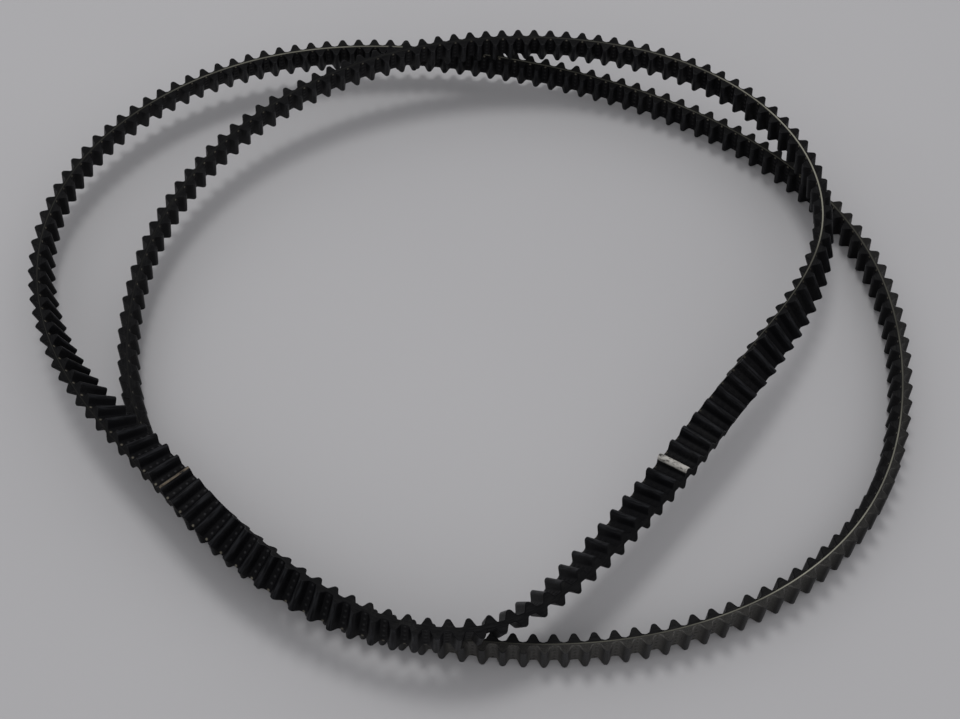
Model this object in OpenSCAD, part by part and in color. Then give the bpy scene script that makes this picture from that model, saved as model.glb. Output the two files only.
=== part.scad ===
// Endless double-sided timing belt, lying loosely coiled in two turns with one full twist in it.
// Two toothed rubber halves are bonded to a layer of glass cords, wound side by side as a pair.
// The belt stands mostly on its edge. Lengths are in millimetres, angles in degrees.

/* [Belt] */
// Number of teeth on each face of the belt
teeth = 260; // [240:2:280]
// Distance from tooth to tooth along the belt
pitch = 5; // [4.6:0.1:5.4]
// Width of the belt from edge to edge
width = 9; // [6:0.5:9.5]
// Thickness of the web, from land to land
web = 1.2; // [1:0.1:1.6]

/* [Teeth] */
// Height of a tooth above the land beside it
tooth_h = 2.05; // [1.2:0.05:2.2]
// Length of a tooth along the belt at its root
root_l = 2.9; // [2.2:0.1:3.6]
// Length of a tooth along the belt at its shoulders, below the rounded tip
shoulder_l = 1.7; // [1:0.1:2]
// Height of the shoulders as a share of the tooth height
shoulder_share = 0.7; // [0.5:0.05:0.85]
// How far the inner teeth lag behind the outer teeth, as a share of the pitch
stagger = 0.55; // [0:0.05:0.95]

/* [Tension cords] */
// Thickness of a cord, through the belt
cord_t = 0.6; // [0.3:0.05:0.7]
// Width of a cord, across the belt
cord_w = 1; // [0.6:0.1:1.1]
// Rubber left between the cords and each land
land_cover = 0.25; // [0.15:0.05:0.3]
// How many times each cord of the pair runs round the belt
cord_turns = 2.5; // [1.5:0.5:2.5]

/* [Hidden] */

rubber_colour = [0.1, 0.1, 0.11];
inner_colour = [0.15, 0.15, 0.16];
s_colour = [0.82, 0.8, 0.7];
z_colour = [0.7, 0.66, 0.54];

// Control points of the belt's centre line, in the order in which the belt runs: x, y, z and
// the roll about the belt's own length. At roll 0 the belt stands on its second edge, and at
// roll 90 it lies with its inner face up. The first turn carries the whole twist and lies over
// the second, and the last point leads back to the first.
ROUTE = [
    [-43, 112, 12, -10], [-85, 102, 12, -25], [-117, 74, 12, -22], [-130, 40, 9, -8],
    [-123, 8, 9, 12], [-106, -19, 14, 32], [-84, -40, 18, 72], [-62, -64, 18, 112],
    [-38, -82, 18, 148], [-14, -90, 17, 176], [8, -86, 16, 202], [26, -70, 16, 225],
    [44, -50, 16, 242], [61, -29, 17, 272], [81, -4, 18, 315], [101, 27, 18, 348],
    [98, 66, 18, 352], [68, 98, 19, 348], [17, 110, 19, 344], [-36, 101, 19, 342],
    [-77, 73, 15, 344], [-97, 36, 11, 346], [-100, 0, 7, 354], [-91, -30, 5, 360],
    [-74, -53, 5, 360], [-54, -69, 5, 360], [-30, -81, 5, 360], [1, -88, 5, 360],
    [38, -88, 6, 359], [75, -76, 6, 360], [104, -51, 6, 358], [117, -15, 6, 356],
    [118, 27, 6, 352], [98, 65, 6, 350], [60, 94, 6, 350], [9, 110, 8, 350]
];
route_n = len(ROUTE);
full_turn = 360;
up = [0, 0, 1];

// Uniform cubic B-spline through the route, as a closed curve that gains one roll each time round.
function route_point(i) =
    let (lap = floor(i / route_n), p = ROUTE[i - lap * route_n])
    [p[0], p[1], p[2], p[3] + lap * full_turn];
function blend(i, w) =
    w[0] * route_point(i - 1) + w[1] * route_point(i)
    + w[2] * route_point(i + 1) + w[3] * route_point(i + 2);
function spline(u) =
    let (i = floor(u), t = u - i)
    blend(i, [(1 - t) ^ 3, 3 * t ^ 3 - 6 * t ^ 2 + 4, -3 * t ^ 3 + 3 * t ^ 2 + 3 * t + 1, t ^ 3] / 6);
function spline_slope(u) =
    let (i = floor(u), t = u - i)
    blend(i, [-(1 - t) ^ 2, 3 * t ^ 2 - 4 * t, -3 * t ^ 2 + 2 * t + 1, t ^ 2] / 2);
function xyz(p) = [p[0], p[1], p[2]];
function unit(v) = v / norm(v);

// The route is measured in short steps and scaled so that its length is a whole number of teeth.
steps = 14;
step_points = [for (j = [0 : route_n * steps]) xyz(spline(j / steps))];
step_lengths = [for (j = [1 : len(step_points) - 1]) norm(step_points[j] - step_points[j - 1])];
function running_sum(v) =
    [for (i = 0, sum = 0; i <= len(v); sum = sum + (i < len(v) ? v[i] : 0), i = i + 1) sum];
distances = running_sum(step_lengths);
belt_length = teeth * pitch;
route_scale = belt_length / distances[len(distances) - 1];
length_table = [for (j = [0 : len(distances) - 1]) [distances[j] * route_scale, j / steps]];

// The belt's own axes at a distance s along it: centre, towards the first edge, out of the outer face.
function section(s) =
    let (
        u = lookup(s - floor(s / belt_length) * belt_length, length_table),
        centre = spline(u),
        ahead = unit(xyz(spline_slope(u))),
        side = unit(cross(ahead, up)),
        rise = cross(side, ahead),
        roll = centre[3]
    )
    [xyz(centre) * route_scale, cos(roll) * rise + sin(roll) * side, cos(roll) * side - sin(roll) * rise];
function at(frame, across, out) = frame[0] + across * frame[1] + out * frame[2];

// Tooth profile as distance along the belt from the tooth's middle, and height above the land.
tooth_profile = [
    [-root_l / 2, 0], [-shoulder_l / 2, shoulder_share * tooth_h], [0, tooth_h],
    [shoulder_l / 2, shoulder_share * tooth_h], [root_l / 2, 0]
];
profile_n = len(tooth_profile);
land_out = web / 2;
base_out = land_out - land_cover;

// Corners of a toothed half: the toothed face first, then the flat face that lies on the cords.
// side is 1 for the outer half and -1 for the inner half, which is the same shape turned over.
function toothed_points(side, phase) = [
    for (k = [0 : teeth - 1], q = tooth_profile)
        let (frame = section((k + phase) * pitch + q[0]))
        for (edge = [-1, 1]) at(frame, side * edge * width / 2, side * (land_out + q[1]))
];
function base_points(side) = [
    for (k = [0 : teeth - 1])
        let (frame = section(k * pitch))
        for (edge = [-1, 1]) at(frame, side * edge * width / 2, side * base_out)
];

// The object stands on z = 0 with the middle of its box over the origin.
outer_phase = 0.5;
inner_phase = outer_phase - stagger;
outer_points = toothed_points(1, outer_phase);
inner_points = toothed_points(-1, inner_phase);
all_points = concat(outer_points, inner_points);
function lowest(axis) = min([for (p = all_points) p[axis]]);
function highest(axis) = max([for (p = all_points) p[axis]]);
origin = [(lowest(0) + highest(0)) / 2, (lowest(1) + highest(1)) / 2, lowest(2)];
function moved(points) = [for (p = points) p - origin];

// Faces of a toothed half. Row r of the toothed face has its two corners at 2r and 2r + 1.
rows = teeth * profile_n;
function row(r, edge) = 2 * (r % rows) + edge;
function base(k, edge) = 2 * rows + 2 * (k % teeth) + edge;
function quad(a, b, c, d) = [[a, b, c], [a, c, d]];
function facing(edge, face) = edge == 1 ? face : [face[2], face[1], face[0]];
toothed_faces = [
    for (r = [0 : rows - 1]) each quad(row(r, 0), row(r, 1), row(r + 1, 1), row(r + 1, 0)),
    for (k = [0 : teeth - 1])
        each quad(base(k + 1, 0), base(k + 1, 1), base(k, 1), base(k, 0)),
    for (k = [0 : teeth - 1], edge = [0, 1])
        let (first = k * profile_n, last = first + profile_n - 1)
        each [
            for (j = [first + 1 : last - 1]) facing(edge, [row(j + 1, edge), row(j, edge), row(first, edge)]),
            facing(edge, [row(last, edge), row(first, edge), base(k, edge)]),
            facing(edge, [base(k + 1, edge), row(last, edge), base(k, edge)]),
            facing(edge, [row(last + 1, edge), row(last, edge), base(k + 1, edge)])
        ]
];

module toothed_half(side, toothed) {
    polyhedron(moved(concat(toothed, base_points(side))), toothed_faces);
}

// A cord runs round and round between the halves, and moves across the belt as it goes. It starts
// flush with one edge and ends flush with the other. The two cords lie half a spacing apart.
cord_gap = (width - cord_w) / (2 * cord_turns);
cord_rings = floor(cord_turns * teeth);
function cord_ring(k, start_s, first_across) =
    let (
        frame = section(start_s + k * pitch),
        across = first_across + 2 * cord_gap * k / teeth
    )
    [for (c = [[-1, -1], [1, -1], [1, 1], [-1, 1]])
        at(frame, across + c[0] * cord_w / 2, c[1] * cord_t / 2)];
module cord(start_s) {
    first_across = -(width - cord_w) / 2;
    points = [for (k = [0 : cord_rings]) each cord_ring(k, start_s, first_across)];
    faces = [
        [0, 1, 2, 3],
        for (k = [0 : cord_rings - 1], c = [0 : 3])
            let (a = 4 * k + c, b = 4 * k + (c + 1) % 4)
            each quad(a, a + 4, b + 4, b),
        [for (c = [3 : -1 : 0]) 4 * cord_rings + c]
    ];
    polyhedron(moved(points), faces);
}

module outer_toothed_half() {
    color(rubber_colour) toothed_half(1, outer_points);
}

module inner_toothed_half() {
    color(inner_colour) toothed_half(-1, inner_points);
}

module s_twist_cord() {
    color(s_colour) cord(0);
}

module z_twist_cord() {
    color(z_colour) cord(belt_length / 2);
}

outer_toothed_half();
inner_toothed_half();
s_twist_cord();
z_twist_cord();
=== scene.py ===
"""Looks of an endless double-sided timing belt that lies coiled in two turns.

The belt is built as the real one is: two nylon facings over two toothed rubber halves, with a pair of
glass cords wound through the middle. Every piece is swept along the belt's own line, so it sits where
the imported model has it. Shapes are in metres and degrees. A place on the belt is given as its distance
along the belt, its distance across it from the middle towards the first edge, and its distance out of
the middle towards the outer face. Side 1 is the outer face of the belt, and side -1 the inner face.
"""

import math

import bpy
import numpy as np
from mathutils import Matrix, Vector


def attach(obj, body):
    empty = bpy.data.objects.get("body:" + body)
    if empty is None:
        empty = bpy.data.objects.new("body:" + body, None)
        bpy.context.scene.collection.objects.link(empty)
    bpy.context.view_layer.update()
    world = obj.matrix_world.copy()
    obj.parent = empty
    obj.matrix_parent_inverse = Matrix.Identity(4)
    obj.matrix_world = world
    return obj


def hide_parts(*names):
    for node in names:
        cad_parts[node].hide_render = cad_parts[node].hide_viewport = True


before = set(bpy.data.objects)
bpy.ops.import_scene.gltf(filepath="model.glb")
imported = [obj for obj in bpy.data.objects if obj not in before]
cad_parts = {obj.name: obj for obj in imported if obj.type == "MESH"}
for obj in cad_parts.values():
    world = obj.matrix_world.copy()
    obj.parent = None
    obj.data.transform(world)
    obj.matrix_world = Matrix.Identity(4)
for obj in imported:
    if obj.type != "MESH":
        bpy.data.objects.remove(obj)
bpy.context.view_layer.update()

MM = 0.001

# ---------------------------------------------------------------- sizes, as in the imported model
TEETH = 260
PITCH = 5.0 * MM
WIDTH = 9.0 * MM
LAND_OUT = 0.6 * MM
TOOTH_H = 2.05 * MM
# How far the inner teeth lag behind the outer teeth, as a share of the pitch.
STAGGER = 0.55
BELT_LENGTH = TEETH * PITCH

# The route of the belt's centre line, in the order in which the belt runs: x, y, z, and the roll about
# the belt's own length in degrees. At roll 0 the belt stands on its second edge.
ROUTE = [
    (-0.043, 0.112, 0.012, -10), (-0.085, 0.102, 0.012, -25), (-0.117, 0.074, 0.012, -22),
    (-0.130, 0.040, 0.009, -8), (-0.123, 0.008, 0.009, 12), (-0.106, -0.019, 0.014, 32),
    (-0.084, -0.040, 0.018, 72), (-0.062, -0.064, 0.018, 112), (-0.038, -0.082, 0.018, 148),
    (-0.014, -0.090, 0.017, 176), (0.008, -0.086, 0.016, 202), (0.026, -0.070, 0.016, 225),
    (0.044, -0.050, 0.016, 242), (0.061, -0.029, 0.017, 272), (0.081, -0.004, 0.018, 315),
    (0.101, 0.027, 0.018, 348), (0.098, 0.066, 0.018, 352), (0.068, 0.098, 0.019, 348),
    (0.017, 0.110, 0.019, 344), (-0.036, 0.101, 0.019, 342), (-0.077, 0.073, 0.015, 344),
    (-0.097, 0.036, 0.011, 346), (-0.100, 0.000, 0.007, 354), (-0.091, -0.030, 0.005, 360),
    (-0.074, -0.053, 0.005, 360), (-0.054, -0.069, 0.005, 360), (-0.030, -0.081, 0.005, 360),
    (0.001, -0.088, 0.005, 360), (0.038, -0.088, 0.006, 359), (0.075, -0.076, 0.006, 360),
    (0.104, -0.051, 0.006, 358), (0.117, -0.015, 0.006, 356), (0.118, 0.027, 0.006, 352),
    (0.098, 0.065, 0.006, 350), (0.060, 0.094, 0.006, 350), (0.009, 0.110, 0.008, 350),
]

# ---------------------------------------------------------------- sizes that only the looks have
FACING_T = 0.25 * MM
CORNER = 0.07 * MM
TIP_R = 0.85 * MM
# Half the length of a tooth, where the line of its flank meets the land.
ROOT_HALF = 1.6 * MM
ROOT_FILLET = 0.45 * MM
TIP_STEPS = 4
FILLET_STEPS = 3
LAND_STEPS = 4
# Shading is smooth over edges that bend less than this.
CREASE = 42

# Small pits in each land, where the mould held the cords, in a row across the belt. The first edge
# cuts through the last one.
PIT_FIRST = 0.2 * MM
PIT_SPACING = 2.0 * MM
PIT_HALF = 0.45 * MM
PIT_DEPTH = 0.17 * MM
WHOLE_PITS = (-2, -1, 0, 1)
CUT_PIT = 2
# Depth of the cut pit where the belt's edge is rounded, as a share of its depth.
CUT_PIT_CORNER = 0.9
CUT_PIT_EDGE = 0.7

# Two cords are wound side by side, and the knife that cut the belt to width sliced into them. Each moves
# across the belt by the lead in every lap.
CORD_R = 0.2 * MM
CORD_LEAD = 4 * CORD_R
CORD_SIDES = 8
CORD_STEP = PITCH / 2
# The slice stands this much proud of the rubber, so that the two surfaces don't lie in one plane.
CUT_PROUD = 0.02 * MM
# Rubber over the first turn, at the second edge.
SECOND_EDGE_COVER = 0.15 * MM
# How far past the cut the middle of a cord is at its end, as a share of its radius.
LAST_PAST_CUT = 0.98
# Least width to divide by when a sliced ring is widened: as a share of its chord, and in metres.
LEAST_SLICE = 0.1
LEAST_WIDTH = 1e-9
# Distance along the belt at which the first cord starts to show.
SLICE_START = 0.885

# ---------------------------------------------------------------- colours
NYLON_DARK = (0.0016, 0.0016, 0.002)
NYLON_LIGHT = (0.004, 0.004, 0.005)
# Tooth tips: real polish, made lighter as a painted highlight of the lamp on them.
NYLON_POLISH_AND_HIGHLIGHT = (0.024, 0.025, 0.028)
# Painted glint in the pits of the inner face.
PIT_GLINT_GREY = (0.05, 0.05, 0.052)
PIT_CREAM = (0.22, 0.2, 0.15)
RUBBER_DARK = (0.004, 0.004, 0.0045)
RUBBER_LIGHT = (0.013, 0.013, 0.0135)
RUBBER_DUSTY = (0.06, 0.058, 0.054)
LAND_DUSTY = (0.14, 0.136, 0.126)
DUST = (0.045, 0.044, 0.042)
LINT = (0.4, 0.39, 0.37)
CHALK = (0.55, 0.53, 0.49)
CREAM = (0.5, 0.4, 0.28)
YARN_LIGHT = (0.46, 0.45, 0.37)
YARN_DARK = (0.3, 0.29, 0.23)
FLOOR_DARK = (0.5, 0.495, 0.502)
FLOOR_LIGHT = (0.53, 0.525, 0.53)

# How clean the sliced cord is, and how much dust handling left, as (share of the belt's length, level).
CLEAN_YARN = (
    (0.0, 0.65), (0.02, 0.5), (0.04, 0.3), (0.07, 0.06), (0.14, 0.05), (0.19, 0.1), (0.3, 0.15),
    (0.345, 0.2), (0.365, 0.7), (0.395, 0.75), (0.425, 0.3), (0.46, 0.02), (0.69, 0.02), (0.71, 0.2),
    (0.745, 0.35), (0.77, 0.85), (0.8, 0.75), (0.82, 0.25), (0.85, 0.16), (0.94, 0.2), (0.97, 0.4),
    (1.0, 0.65),
)
HANDLED = (
    (0.0, 0.1), (0.1, 0.0), (0.64, 0.0), (0.68, 0.5), (0.74, 0.75), (0.8, 0.4), (0.9, 0.2), (1.0, 0.1),
)

# ---------------------------------------------------------------- patterns, with lengths in mm
# Spacing of the threads in the cloth.
THREAD = 0.3
# Heights above the land over which the polish and painted highlight of the tips and the wear of a tooth
# come in, over which settled dust thins out, and over which the painted shade and glint of the pits come in
# on the way down.
TIP_BAND = (1.3, 2.0)
WORN_BAND = (0.9, 1.5)
FLANK_BAND = (0.2, 1.6)
LAND_BAND = (0.1, 0.0)
# Distances across the belt over which the cut pits come in.
NOTCH_BAND = (3.4, 3.8)
# Distances out of the belt over which the cut edge of the outer half comes in.
OUTER_HALF_BAND = (-0.3, 0.3)
# Specks of lint on the cloth: how far apart, and how large.
LINT_SPACING = 9.0
LINT_R = 0.14
# A patch is at full strength inside this share of its size, and fades out from there to its edge.
SPECK_CORE = 0.6
WORN_CORE = 0.75
PIT_CORE = 0.3
# Threads in one repeat of the twill, and the height of the weft beside a warp height of 1.
TWILL_REPEAT = 4
WEFT_HEIGHT = 0.7

# How strongly each look shows where it is strongest, from 0 to 1.
DUST_ON_CLOTH = 0.25
DUST_ON_CUT = 0.45
SETTLED_ON_LAND = 0.9
SETTLED_ON_TIP = 0.25
# The polish on the tooth tips is partly a painted highlight.
POLISH_AND_HIGHLIGHT = 0.6
LINT_SHARE = 0.6
OUTER_NOTCH = 0.3
INNER_NOTCH = 1
# Levels at the two ends of a blend: dust on the inner and outer half of the cut edge, and how clean the
# cord is away from smears and in them.
HANDLED_BY_HALF = (0.12, 1.0)
CLEAN_BY_SMEAR = (1.0, 0.55)
# Roughness, from the dark to the light parts of the grain.
CLOTH_ROUGH = (0.38, 0.6)
TIP_ROUGH = (0.28, 0.45)
CUT_ROUGH = (0.65, 0.92)

# One worn tooth on each face: its place along the belt, half the length of the worn patch, and how
# strongly it shows from 0 to 1.
WORN_OUTER = (382.5, 1.6, 0.9)
WORN_INNER = (224.75, 0.35, 0.28)

# ---------------------------------------------------------------- camera, floor and light
# The lens and the sensor are in mm.
CAMERA_TARGET = (0.0050, -0.0108, -0.0005)
CAMERA_DISTANCE = 0.3787
CAMERA_ELEVATION = 57.09
CAMERA_LENS = 50.1
SENSOR_WIDTH = 36
FLOOR_HALF = 6.0
LAMP_PLACE = (-0.1, 0.55, 1.4)
LAMP_SIZE = 0.42
LAMP_POWER = 4.8
SKY_COLOUR = (0.97, 0.97, 1.0)
SKY_STRENGTH = 0.57


# ---------------------------------------------------------------- the belt's line
def route_point(i):
    """Control points of the route by number. Each lap adds one full turn of roll."""
    lap, place_in_lap = np.divmod(i, len(ROUTE))
    p = np.array(ROUTE)[place_in_lap]
    p[..., 3] += 360 * lap
    return p


def blend(u, weights):
    """The four control points round u, mixed by the weights for u's place in its span."""
    i = np.floor(u).astype(int)
    t = (u - i)[..., None]
    return sum(w * route_point(i - 1 + k) for k, w in enumerate(weights(t)))


def spline(u):
    """Uniform cubic B-spline along the route: x, y, z and roll."""
    return blend(u, lambda t: (
        (1 - t) ** 3 / 6,
        (3 * t**3 - 6 * t**2 + 4) / 6,
        (-3 * t**3 + 3 * t**2 + 3 * t + 1) / 6,
        t**3 / 6,
    ))


def spline_slope(u):
    """Slope of the same spline."""
    return blend(u, lambda t: (
        -((1 - t) ** 2) / 2,
        (3 * t**2 - 4 * t) / 2,
        (-3 * t**2 + 2 * t + 1) / 2,
        t**2 / 2,
    ))


def unit(v):
    return v / np.linalg.norm(v, axis=-1, keepdims=True)


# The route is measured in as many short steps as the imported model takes, and scaled to the belt's length.
MEASURE_STEPS = 14
measure_u = np.arange(len(ROUTE) * MEASURE_STEPS + 1) / MEASURE_STEPS
measure_steps = np.linalg.norm(np.diff(spline(measure_u)[:, :3], axis=0), axis=1)
route_scale = BELT_LENGTH / measure_steps.sum()
measure_s = np.concatenate([[0], np.cumsum(measure_steps)]) * route_scale


def on_route(s, across, out):
    """Points on the belt, in the frame of the route."""
    s, across, out = np.broadcast_arrays(s, across, out)
    u = np.interp(s - np.floor(s / BELT_LENGTH) * BELT_LENGTH, measure_s, measure_u)
    centre = spline(u)
    ahead = unit(spline_slope(u)[..., :3])
    side = unit(np.cross(ahead, (0.0, 0.0, 1.0)))
    rise = np.cross(side, ahead)
    roll = np.radians(centre[..., 3:])
    edge = np.cos(roll) * rise + np.sin(roll) * side
    face = np.cos(roll) * side - np.sin(roll) * rise
    return centre[..., :3] * route_scale + across[..., None] * edge + out[..., None] * face


def tooth_middles(side):
    """Distances along the belt of the middles of all teeth on one face."""
    return (np.arange(TEETH) + (0.5 if side > 0 else 0.5 - STAGGER)) * PITCH


def find_origin():
    """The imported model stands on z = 0 with the middle of its box over the origin."""
    tips = np.concatenate([
        on_route(tooth_middles(side), edge * WIDTH / 2, side * (LAND_OUT + TOOTH_H))
        for side in (1, -1)
        for edge in (1, -1)
    ])
    middle = (tips.min(axis=0) + tips.max(axis=0)) / 2
    return np.array([middle[0], middle[1], tips[:, 2].min()])


route_origin = find_origin()


def at(s, across, out):
    """Points on the belt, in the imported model's frame."""
    return on_route(s, across, out) - route_origin


# ---------------------------------------------------------------- tooth profile
def arc(x, y, radius, angles):
    """Rows on a round tip, or on a fillet where radius is negative: along, height, and the normal."""
    return [(x + radius * math.cos(a), y + radius * math.sin(a), math.cos(a), math.sin(a)) for a in angles]


def half_tooth():
    """Half of a tooth from the top of its round tip, down its straight flank, to the land.

    Rows are the distance from the tooth's middle, the height above the land, and the two parts of the
    normal that points out of the belt. flank is the angle of the flank's normal."""
    tip_y = TOOTH_H - TIP_R
    reach = math.hypot(ROOT_HALF, tip_y)
    flank = math.acos(TIP_R / reach) - math.atan2(tip_y, ROOT_HALF)
    tip = arc(0, tip_y, TIP_R, np.linspace(math.pi / 2, flank, TIP_STEPS))
    fillet_x = ROOT_HALF + ROOT_FILLET * math.tan((math.pi / 2 - flank) / 2)
    root = arc(fillet_x, ROOT_FILLET, -ROOT_FILLET, np.linspace(flank, math.pi / 2, FILLET_STEPS))
    half_way = (np.array(tip[-1]) + np.array(root[0])) / 2
    return np.array([*tip, half_way, *root])


def pitch_profile():
    """One pitch, from the middle of one land to the middle of the next.

    Rows are along, height, normal along, normal out, and how deep a pit in the land is there from 0 to 1.
    The middle of the land comes once, on the right."""
    half = half_tooth()
    foot = half[-1, 0]
    half_land = PITCH / 2 - foot
    right = [(*row, 0.0) for row in half]
    for share in np.linspace(0, 1, LAND_STEPS // 2 + 1)[1:]:
        right.append((foot + share * half_land, 0.0, 0.0, 1.0, share))
    left = [(-x, h, -nx, ny, pit) for x, h, nx, ny, pit in right[-2:0:-1]]
    rows = np.array(left + right)
    rows[:, 4] = np.sin(rows[:, 4] * math.pi / 2)
    return rows


PROFILE = pitch_profile()


def stations(side):
    """The profile repeated round the belt on one face."""
    rows = np.tile(PROFILE, (TEETH, 1))
    rows[:, 0] += np.repeat(tooth_middles(side), len(PROFILE))
    return rows


# ---------------------------------------------------------------- meshes
def swept_mesh(name, rings, coords, closed):
    """A tube through rings of points: stations x points x 3. A closed tube joins its own start.

    coords holds the belt's own coordinates in mm, in the same layout. The materials read them as the
    attribute "belt", which is kept per face corner so that it stays clean where the belt joins."""
    n, m = rings.shape[:2]
    index = np.arange(n * m).reshape(n, m)
    here, there = (index, np.roll(index, -1, axis=0)) if closed else (index[:-1], index[1:])
    quads = np.stack([here, there, np.roll(there, -1, axis=1), np.roll(here, -1, axis=1)], axis=-1)
    quads = quads.reshape(-1, 4)
    corners = coords.reshape(-1, 3)[quads]
    lap = BELT_LENGTH / MM
    corners[..., 0] += np.where(corners[..., 0] - corners[:, :1, 0] < -lap / 2, lap, 0)
    faces, values = quads.tolist(), corners.reshape(-1, 3)
    if not closed:
        faces += [index[0, ::-1].tolist(), index[-1].tolist()]
        values = np.concatenate([values, coords[0, ::-1], coords[-1]])
    mesh = bpy.data.meshes.new(name)
    mesh.from_pydata(rings.reshape(-1, 3).tolist(), [], faces)
    belt = mesh.attributes.new("belt", "FLOAT_VECTOR", "CORNER")
    belt.data.foreach_set("vector", values.astype(np.float32).ravel())
    if enclosed_volume(rings.reshape(-1, 3), quads) < 0:
        mesh.flip_normals()
    mesh.shade_smooth()
    mesh.set_sharp_from_angle(angle=math.radians(CREASE))
    piece = bpy.data.objects.new(name, mesh)
    bpy.context.scene.collection.objects.link(piece)
    return piece


def enclosed_volume(points, quads):
    """Signed volume inside quad faces, positive where their normals point out."""
    a, b, c, d = (points[quads[:, k]] for k in range(4))
    return (np.einsum("ij,ij->i", a, np.cross(b, c)) + np.einsum("ij,ij->i", a, np.cross(c, d))).sum() / 6


def sweep_face(name, side, columns, flat_back=False):
    """A piece on one face of the belt. columns lists (across, depth below the face, share of a pit).

    With a flat back, the last two columns lie in the middle of the belt, opposite the first two."""
    rows = stations(side)
    across, depth, pit = (np.array(values)[None, :] for values in zip(*columns))
    depth = depth + pit * PIT_DEPTH * rows[:, 4:5]
    s = rows[:, 0:1] - rows[:, 2:3] * depth
    out = LAND_OUT + rows[:, 1:2] - rows[:, 3:4] * depth
    if flat_back:
        s[:, 2:] = s[:, 1::-1]
        out[:, 2:] = 0
    across = np.broadcast_to(side * across, s.shape)
    out = side * out
    return swept_mesh(name, at(s, across, out), np.stack([s, across, out], axis=-1) / MM, closed=True)


def facing(name, side):
    """Woven nylon facing: a thin shell over teeth and lands, with a row of small pits in each land.

    The columns run from the second edge of the belt to the first. Those of the inner face are turned
    round, because sweep_face mirrors that face, and its cut pit is at the first edge as well."""
    half = WIDTH / 2
    columns = [(-half, FACING_T, 0), (-half, CORNER, 0), (-half + CORNER, 0, 0)]
    for number in WHOLE_PITS:
        middle = PIT_FIRST + number * PIT_SPACING
        columns += [(middle - PIT_HALF, 0, 0), (middle, 0, 1), (middle + PIT_HALF, 0, 0)]
    notch = PIT_FIRST + CUT_PIT * PIT_SPACING
    columns += [(notch - PIT_HALF, 0, 0), (notch, 0, 1), (half - CORNER, 0, CUT_PIT_CORNER)]
    columns += [(half, CORNER, CUT_PIT_EDGE), (half, FACING_T, 0)]
    if side < 0:
        columns = [(-across, depth, pit) for across, depth, pit in columns[::-1]]
    return sweep_face(name, side, columns)


def rubber_half(name, side):
    """Rubber under a facing, down to the middle of the belt."""
    half = WIDTH / 2
    columns = [(-half, FACING_T, 0), (half, FACING_T, 0), (half, 0, 0), (-half, 0, 0)]
    return sweep_face(name, side, columns, flat_back=True)


def cord(name, slice_start):
    """A glass cord wound through the belt from its second edge to its first, in a shallow helix.

    It starts under a little rubber at the second edge. At the first edge the knife sliced it open along
    its length, and slice_start is where it starts to show there."""
    limit = WIDTH / 2 + CUT_PROUD
    first = -(WIDTH / 2 - SECOND_EDGE_COVER - CORD_R)
    last = limit + CORD_R * LAST_PAST_CUT
    wound = (last - first) / CORD_LEAD * BELT_LENGTH
    shown = (last + CORD_R - limit) / CORD_LEAD * BELT_LENGTH
    travel = np.linspace(0, wound, int(wound / CORD_STEP))[:, None]
    middle = first + CORD_LEAD * travel / BELT_LENGTH
    angles = np.arange(CORD_SIDES)[None, :] / CORD_SIDES * 2 * math.pi
    across = middle + CORD_R * np.cos(angles)
    out = np.broadcast_to(CORD_R * np.sin(angles), across.shape)
    # Where a ring reaches past the cut, it is flattened onto the cut and as wide there as its chord.
    beyond = across > limit
    chord = np.sqrt(np.maximum(CORD_R**2 - (limit - middle) ** 2, 0))
    widest = np.max(np.abs(out) * beyond, axis=1, keepdims=True)
    out = np.where(beyond, out * chord / np.maximum(widest, chord * LEAST_SLICE + LEAST_WIDTH), out)
    across = np.where(beyond, limit, across)
    s = np.broadcast_to(slice_start + shown - wound + travel, across.shape)
    return swept_mesh(name, at(s, across, out), np.stack([s, across, out], axis=-1) / MM, closed=False)


# ---------------------------------------------------------------- materials
# Blender's Mix node has one set of sockets for each type of value: first input, second input, output.
MIX_SOCKETS = {"FLOAT": (2, 3, 0), "RGBA": (6, 7, 2)}


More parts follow.
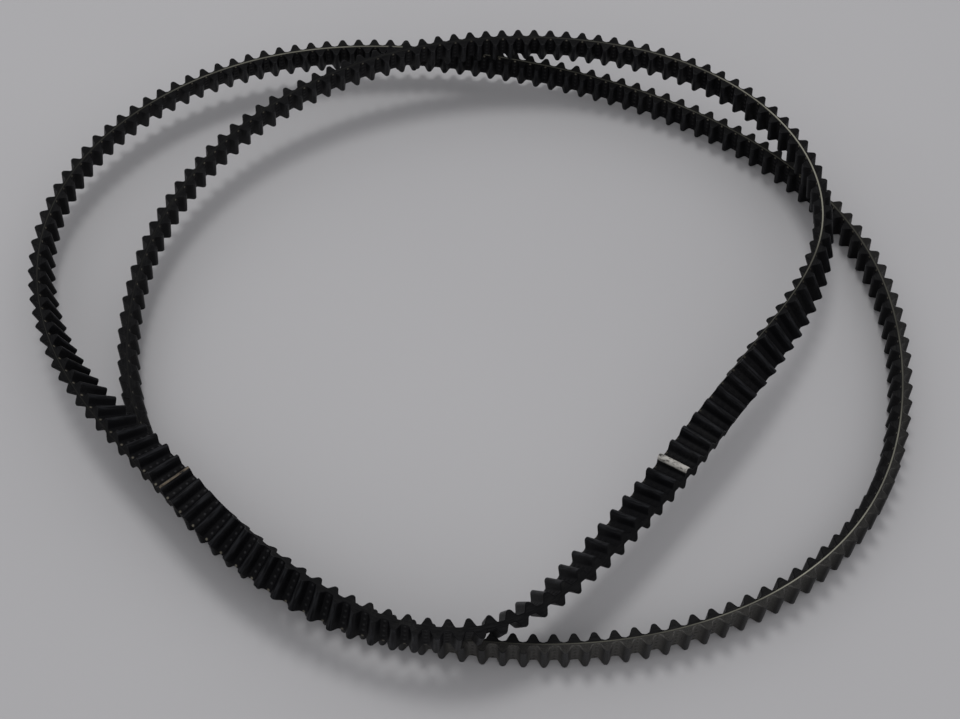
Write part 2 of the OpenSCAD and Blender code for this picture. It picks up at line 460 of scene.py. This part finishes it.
class Surface:
    """A node material, with short ways to add nodes to it.

    Patterns in belt coordinates are in mm, and patterns in object coordinates are in metres."""

    def __init__(self, name, specular):
        self.material = bpy.data.materials.new(name)
        self.material.use_nodes = True
        self.tree = self.material.node_tree
        self.shader = self.tree.nodes["Principled BSDF"]
        self.shader.inputs["Specular IOR Level"].default_value = specular
        belt = self.tree.nodes.new("ShaderNodeAttribute")
        belt.attribute_name = "belt"
        self.belt = belt.outputs["Vector"]
        parts = self.tree.nodes.new("ShaderNodeSeparateXYZ")
        self.tree.links.new(self.belt, parts.inputs[0])
        self.s, self.across, self.out = parts.outputs
        coord = self.tree.nodes.new("ShaderNodeTexCoord")
        self.object = coord.outputs["Object"]

    def fill(self, socket, value):
        """Links an output to a socket, or sets a constant on it."""
        if isinstance(value, bpy.types.NodeSocket):
            self.tree.links.new(value, socket)
        elif isinstance(value, (tuple, list)) and socket.type == "RGBA":
            socket.default_value = (*value, 1)
        else:
            socket.default_value = value

    def maths(self, operation, *values):
        node = self.tree.nodes.new("ShaderNodeMath")
        node.operation = operation
        for socket, value in zip(node.inputs, values):
            self.fill(socket, value)
        return node.outputs[0]

    def product(self, first, *others):
        for other in others:
            first = self.maths("MULTIPLY", first, other)
        return first

    def step(self, value, start, end):
        """0 below start, 1 above end, and smooth between. start may lie above end."""
        node = self.tree.nodes.new("ShaderNodeMapRange")
        node.interpolation_type = "SMOOTHSTEP"
        low, high, flip = (start, end, False) if start < end else (end, start, True)
        self.fill(node.inputs["Value"], value)
        node.inputs["From Min"].default_value = low
        node.inputs["From Max"].default_value = high
        node.inputs["To Min"].default_value = 1 if flip else 0
        node.inputs["To Max"].default_value = 0 if flip else 1
        return node.outputs["Result"]

    def stretched(self, vector, scale):
        node = self.tree.nodes.new("ShaderNodeVectorMath")
        node.operation = "MULTIPLY"
        self.fill(node.inputs[0], vector)
        node.inputs[1].default_value = scale
        return node.outputs[0]

    def noise(self, vector, size, detail=2.0, roughness=0.5, scale=(1, 1, 1)):
        """Noise from about 0 to 1. size is the width of its patches, in the vector's own unit."""
        node = self.tree.nodes.new("ShaderNodeTexNoise")
        self.fill(node.inputs["Vector"], self.stretched(vector, scale))
        node.inputs["Scale"].default_value = 1 / size
        node.inputs["Detail"].default_value = detail
        node.inputs["Roughness"].default_value = roughness
        return node.outputs["Fac"]

    def specks(self, vector, spacing, radius):
        """1 in small round specks that lie about spacing apart, and 0 between them."""
        node = self.tree.nodes.new("ShaderNodeTexVoronoi")
        self.fill(node.inputs["Vector"], vector)
        node.inputs["Scale"].default_value = 1 / spacing
        edge = radius / spacing
        return self.step(node.outputs["Distance"], edge, edge * SPECK_CORE)

    def ramp(self, value, stops):
        """Value from 0 to 1 turned into another through (place, level) stops."""
        node = self.tree.nodes.new("ShaderNodeValToRGB")
        self.fill(node.inputs["Fac"], value)
        elements = node.color_ramp.elements
        while len(elements) < len(stops):
            elements.new(stops[len(elements)][0])
        for element, (place, level) in zip(elements, stops):
            element.position = place
            element.color = (level, level, level, 1)
        return node.outputs["Color"]

    def mix(self, factor, a, b, data_type="RGBA"):
        """Colour a where factor is 0, and colour b where it is 1."""
        node = self.tree.nodes.new("ShaderNodeMix")
        node.data_type = data_type
        first, second, result = MIX_SOCKETS[data_type]
        self.fill(node.inputs["Factor"], factor)
        self.fill(node.inputs[first], a)
        self.fill(node.inputs[second], b)
        return node.outputs[result]

    def blend(self, factor, a, b):
        """Number a where factor is 0, and number b where it is 1."""
        return self.mix(factor, a, b, data_type="FLOAT")

    def bump(self, height, distance, strength):
        """Raised pattern. height is from 0 to 1, and distance is its height in metres."""
        node = self.tree.nodes.new("ShaderNodeBump")
        node.inputs["Strength"].default_value = strength
        node.inputs["Distance"].default_value = distance
        self.fill(node.inputs["Height"], height)
        self.tree.links.new(node.outputs["Normal"], self.shader.inputs["Normal"])

    def paint(self, colour, roughness):
        """Sets the colour and the roughness, each a constant or an output."""
        self.fill(self.shader.inputs["Base Color"], colour)
        self.fill(self.shader.inputs["Roughness"], roughness)

    def put(self, piece):
        piece.data.materials.clear()
        piece.data.materials.append(self.material)


def twill(surface):
    """Height of a twill weave, in which each thread goes over two threads and then under two."""
    along = surface.maths("DIVIDE", surface.s, THREAD)
    over = surface.maths("DIVIDE", surface.across, THREAD)
    rise = surface.maths("ADD", surface.maths("FLOOR", along), surface.maths("FLOOR", over))
    place = surface.maths("FLOORED_MODULO", rise, TWILL_REPEAT)
    on_top = surface.maths("LESS_THAN", place, TWILL_REPEAT / 2)
    warp = surface.maths("ABSOLUTE", surface.maths("SINE", surface.product(over, math.pi)))
    weft = surface.maths("ABSOLUTE", surface.maths("SINE", surface.product(along, math.pi)))
    return surface.blend(on_top, surface.product(weft, WEFT_HEIGHT), warp)


def worn_patch(surface, middle, half_length):
    """1 on a patch of the belt round this distance along it, and 0 past half its length."""
    away = surface.maths("ABSOLUTE", surface.maths("SUBTRACT", surface.s, middle))
    return surface.step(away, half_length, half_length * WORN_CORE)


def pit_spots(surface, side):
    """1 in the middle of each pit in the lands, and 0 outside the pits."""
    land_middle = (0 if side > 0 else 1 - STAGGER) * PITCH / MM
    along = surface.maths("SUBTRACT", surface.s, land_middle)
    along = surface.maths("PINGPONG", along, PITCH / 2 / MM)
    over = surface.maths("SUBTRACT", surface.across, PIT_FIRST / MM)
    over = surface.maths("PINGPONG", over, PIT_SPACING / 2 / MM)
    squares = surface.maths("ADD", surface.maths("POWER", along, 2), surface.maths("POWER", over, 2))
    return surface.step(surface.maths("SQRT", squares), PIT_HALF / MM, PIT_HALF / MM * PIT_CORE)


def share_of_lap(surface, stops):
    """A level that changes along the belt, from (share of the belt's length, level) stops."""
    return surface.ramp(surface.maths("FRACT", surface.maths("DIVIDE", surface.s, BELT_LENGTH / MM)), stops)


def nylon(name, side, worn_at, worn_half_length, worn_share):
    """Black nylon cloth, polished on the tooth tips with a painted highlight over the polish, painted dark
    shade in the pits of the outer face and a painted grey glint in those of the inner face, and with one
    worn tooth.
    """
    surface = Surface(name, specular=0.07)
    height = surface.maths("SUBTRACT", surface.product(surface.out, side), LAND_OUT / MM)
    tip = surface.step(height, *TIP_BAND)
    cloudy = surface.noise(surface.object, size=0.011, detail=4)
    grain = surface.noise(surface.belt, size=0.35, detail=3)
    streaks = surface.noise(surface.belt, size=0.5, detail=3, scale=(1, 0.12, 1))
    smear = surface.noise(surface.belt, size=0.8, detail=5, roughness=0.6, scale=(1, 0.5, 1))

    colour = surface.mix(surface.noise(surface.object, size=0.004), NYLON_DARK, NYLON_LIGHT)
    dust = surface.product(
        surface.step(cloudy, start=0.45, end=0.75), surface.step(grain, start=0.35, end=0.8), DUST_ON_CLOTH
    )
    colour = surface.mix(dust, colour, DUST)
    handled = share_of_lap(surface, HANDLED) if side > 0 else 0
    settled = surface.blend(surface.step(height, *FLANK_BAND), SETTLED_ON_LAND, SETTLED_ON_TIP)
    settled = surface.product(handled, settled, surface.step(grain, start=0.1, end=0.6))
    colour = surface.mix(settled, colour, LAND_DUSTY)

    # Lighter grey streaks on the tooth tips: partly real polish, partly a painted highlight of the lamp.
    polish_and_highlight = surface.product(tip, surface.step(streaks, start=0.4, end=0.65), POLISH_AND_HIGHLIGHT)
    colour = surface.mix(polish_and_highlight, colour, NYLON_POLISH_AND_HIGHLIGHT)
    # Painted shade in the pits of the outer face, and a painted grey glint in the pits of the inner face.
    pit_shade_and_glint = surface.product(pit_spots(surface, side), surface.step(height, *LAND_BAND), cloudy)
    colour = surface.mix(pit_shade_and_glint, colour, NYLON_DARK if side > 0 else PIT_GLINT_GREY)
    notch = surface.product(
        pit_shade_and_glint, surface.step(surface.across, *NOTCH_BAND), OUTER_NOTCH if side > 0 else INNER_NOTCH
    )
    colour = surface.mix(notch, colour, PIT_CREAM)

    lint = surface.specks(surface.belt, LINT_SPACING, LINT_R)
    colour = surface.mix(surface.product(lint, LINT_SHARE), colour, LINT)
    worn = surface.product(
        worn_patch(surface, worn_at, worn_half_length),
        surface.step(height, *WORN_BAND),
        surface.step(smear, start=0.28, end=0.55),
        worn_share,
    )
    colour = surface.mix(worn, colour, CHALK if side > 0 else CREAM)
    rough = surface.blend(tip, surface.blend(grain, *CLOTH_ROUGH), surface.blend(grain, *TIP_ROUGH))
    surface.paint(colour, rough)
    surface.bump(twill(surface), distance=0.025 * MM, strength=0.5)
    return surface


def cut_rubber(name):
    """Rubber as a knife left it at the belt's edge: scored along its length, and dusty where handled."""
    surface = Surface(name, specular=0.06)
    scores = surface.noise(surface.belt, size=0.25, detail=3, scale=(0.08, 1, 1))
    patches = surface.noise(surface.object, size=0.009, detail=5, roughness=0.6)
    grain = surface.noise(surface.belt, size=0.22, detail=2)

    colour = surface.mix(surface.step(scores, start=0.3, end=0.75), RUBBER_DARK, RUBBER_LIGHT)
    handled = surface.product(
        share_of_lap(surface, HANDLED),
        surface.blend(surface.step(surface.out, *OUTER_HALF_BAND), *HANDLED_BY_HALF),
        surface.step(grain, start=0.1, end=0.6),
    )
    colour = surface.mix(handled, colour, RUBBER_DUSTY)
    dusty = surface.product(
        surface.step(patches, start=0.5, end=0.75), surface.step(grain, start=0.35, end=0.7), DUST_ON_CUT
    )
    colour = surface.mix(dusty, colour, DUST)
    surface.paint(colour, surface.blend(grain, *CUT_ROUGH))
    surface.bump(surface.blend(0.5, scores, grain), distance=0.05 * MM, strength=0.6)
    return surface


def glass_yarn(name):
    """Cream glass cord where it is sliced open, dark where rubber is smeared over it."""
    surface = Surface(name, specular=0.1)
    fibres = surface.noise(surface.belt, size=0.05, detail=2, scale=(0.06, 1, 1))
    smears = surface.noise(surface.belt, size=6.0, detail=4, roughness=0.6, scale=(0.35, 1, 1))
    smeared = surface.blend(surface.step(smears, start=0.4, end=0.7), *CLEAN_BY_SMEAR)
    clean = surface.product(share_of_lap(surface, CLEAN_YARN), smeared)
    colour = surface.mix(clean, RUBBER_DARK, surface.mix(fibres, YARN_DARK, YARN_LIGHT))
    surface.paint(colour, roughness=0.7)
    surface.bump(fibres, distance=0.02 * MM, strength=0.8)
    return surface


def floor_paint(name):
    """Pale grey board, matt and almost even."""
    surface = Surface(name, specular=0.3)
    cloudy = surface.noise(surface.object, size=0.12, detail=3)
    surface.paint(surface.mix(cloudy, FLOOR_DARK, FLOOR_LIGHT), roughness=0.55)
    return surface


# ---------------------------------------------------------------- stage
def aim(thing, target):
    """Turns a camera or a lamp towards a point."""
    thing.rotation_euler = (Vector(target) - thing.location).to_track_quat("-Z", "Y").to_euler()


def add_camera():
    data = bpy.data.cameras.new("camera")
    data.lens = CAMERA_LENS
    data.sensor_width = SENSOR_WIDTH
    camera = bpy.data.objects.new("camera", data)
    elevation = math.radians(CAMERA_ELEVATION)
    back = Vector((0, -math.cos(elevation), math.sin(elevation)))
    camera.location = Vector(CAMERA_TARGET) + CAMERA_DISTANCE * back
    aim(camera, CAMERA_TARGET)
    bpy.context.scene.collection.objects.link(camera)
    bpy.context.scene.camera = camera


def add_floor():
    half = FLOOR_HALF
    mesh = bpy.data.meshes.new("floor")
    corners = [(-half, -half, 0), (half, -half, 0), (half, half, 0), (-half, half, 0)]
    mesh.from_pydata(corners, [], [(0, 1, 2, 3)])
    floor = bpy.data.objects.new("floor", mesh)
    bpy.context.scene.collection.objects.link(floor)
    floor_paint("floor").put(floor)


def add_lamp(name, place, size, power):
    data = bpy.data.lights.new(name, "AREA")
    data.shape = "DISK"
    data.size = size
    data.energy = power
    lamp = bpy.data.objects.new(name, data)
    lamp.location = place
    aim(lamp, (0, 0, 0))
    bpy.context.scene.collection.objects.link(lamp)


def add_sky(colour, strength):
    world = bpy.data.worlds.new("sky")
    world.use_nodes = True
    background = world.node_tree.nodes["Background"]
    background.inputs["Color"].default_value = (*colour, 1)
    background.inputs["Strength"].default_value = strength
    bpy.context.scene.world = world


add_camera()

# ---------------------------------------------------------------- the belt
rubber = cut_rubber("cut rubber")
for side, where, worn in ((1, "outer", WORN_OUTER), (-1, "inner", WORN_INNER)):
    node = where + "_toothed_half"
    body = rubber_half(where + "_rubber", side)
    rubber.put(body)
    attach(body, "root")
    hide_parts(node)
    cloth = facing(where + "_facing", side)
    nylon(where + " nylon", side, *worn).put(cloth)
    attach(cloth, "root")
    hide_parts(node)

glass = glass_yarn("glass yarn")
for name, laps_on in (("s_twist", 0), ("z_twist", -0.5)):
    yarn = cord(name + "_yarn", SLICE_START + laps_on * BELT_LENGTH)
    glass.put(yarn)
    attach(yarn, "root")
    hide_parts(name + "_cord")

add_floor()
add_sky(SKY_COLOUR, SKY_STRENGTH)
add_lamp("window", LAMP_PLACE, LAMP_SIZE, LAMP_POWER)
bpy.context.scene.view_settings.view_transform = "Standard"
